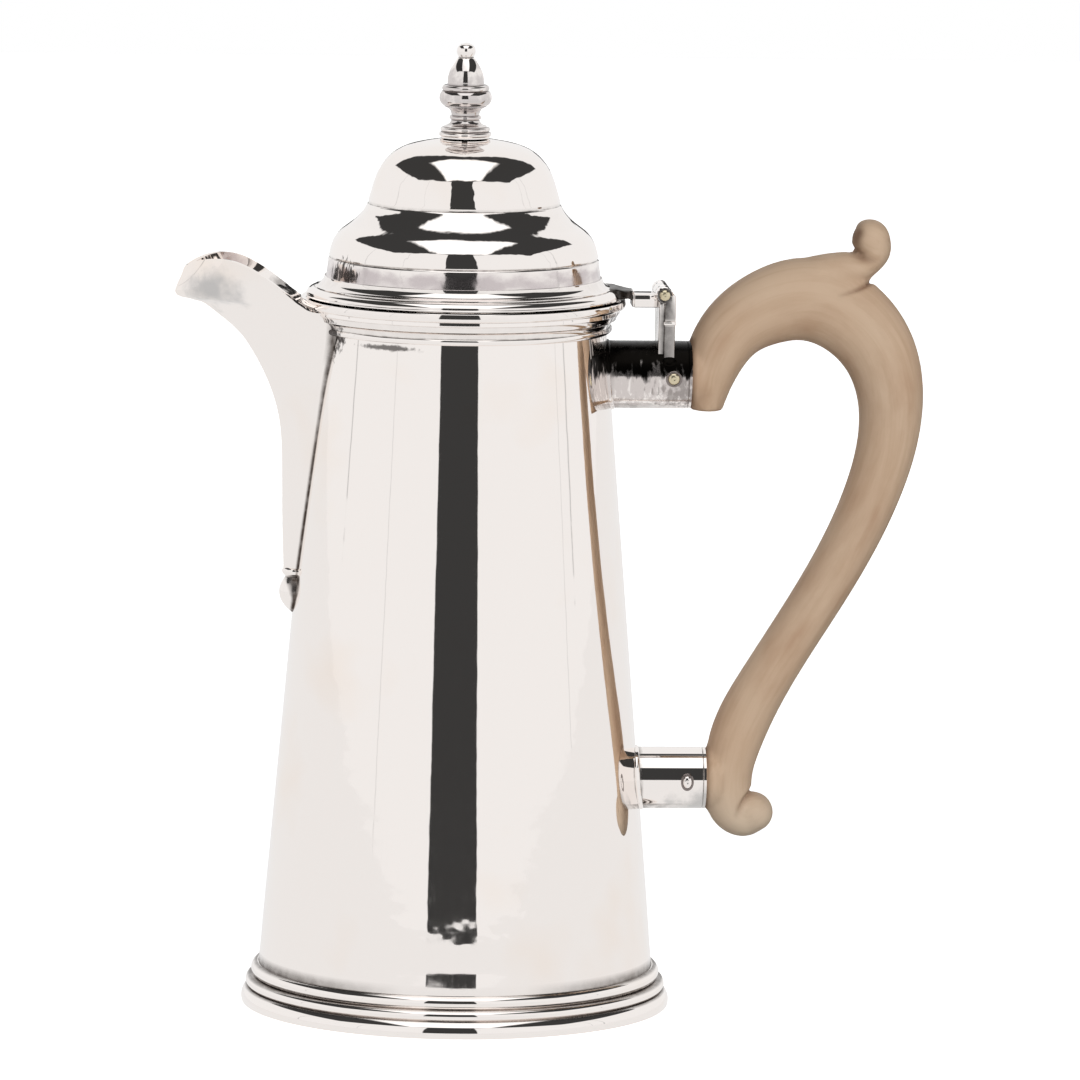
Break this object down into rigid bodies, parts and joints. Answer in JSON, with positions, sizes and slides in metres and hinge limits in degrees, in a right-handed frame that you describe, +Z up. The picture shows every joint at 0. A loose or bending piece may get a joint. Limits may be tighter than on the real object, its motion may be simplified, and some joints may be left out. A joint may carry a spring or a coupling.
{
  "type": "chocolate pot",
  "caption": "Tapered cylindrical silver pot with a beak spout, a stepped high-domed hinged lid, a lift-off baluster finial and a carved double-scroll wooden handle.",
  "frame": {"origin": "on the axis of the tapered body, in the plane that the foot stands on", "axes": "+Z up along the body axis, +X towards the handle, -X towards the spout; +Y is the far side when the spout is on the left"},
  "size_m": [0.1902, 0.109, 0.245],
  "materials": {
    "polished_silver": "polished",
    "boxwood": "matte",
    "gilt_brass": "polished"
  },
  "bodies": {
    "pot": {"body_shell": "polished_silver", "base_plate": "polished_silver", "foot_moulding": "polished_silver", "rim_moulding": "polished_silver", "spout": "polished_silver", "spout_drop": "polished_silver", "upper_socket": "polished_silver", "lower_socket": "polished_silver", "upper_handle_pin": "gilt_brass", "lower_handle_pin": "polished_silver", "handle": "boxwood", "hinge_bracket": "polished_silver", "hinge_pin": "gilt_brass"},
    "lid": {"lid_hinge_arm": "polished_silver", "lid_flange": "polished_silver", "lid_dome": "polished_silver", "lid_bezel": "polished_silver", "finial_collar": "polished_silver"},
    "stirrer_cap": {"finial": "polished_silver", "finial_sleeve": "polished_silver"}
  },
  "joints": [
    {"name": "lid_hinge", "type": "hinge", "parent": "pot", "child": "lid", "pos_m": [0.0505, 0, 0.18225], "axis": [0, 1, 0], "range_deg": [0, 105]},
    {"name": "finial_lift", "type": "slide", "parent": "lid", "child": "stirrer_cap", "axis": [0, 0, 1], "range_m": [0, 0.025]}
  ]
}
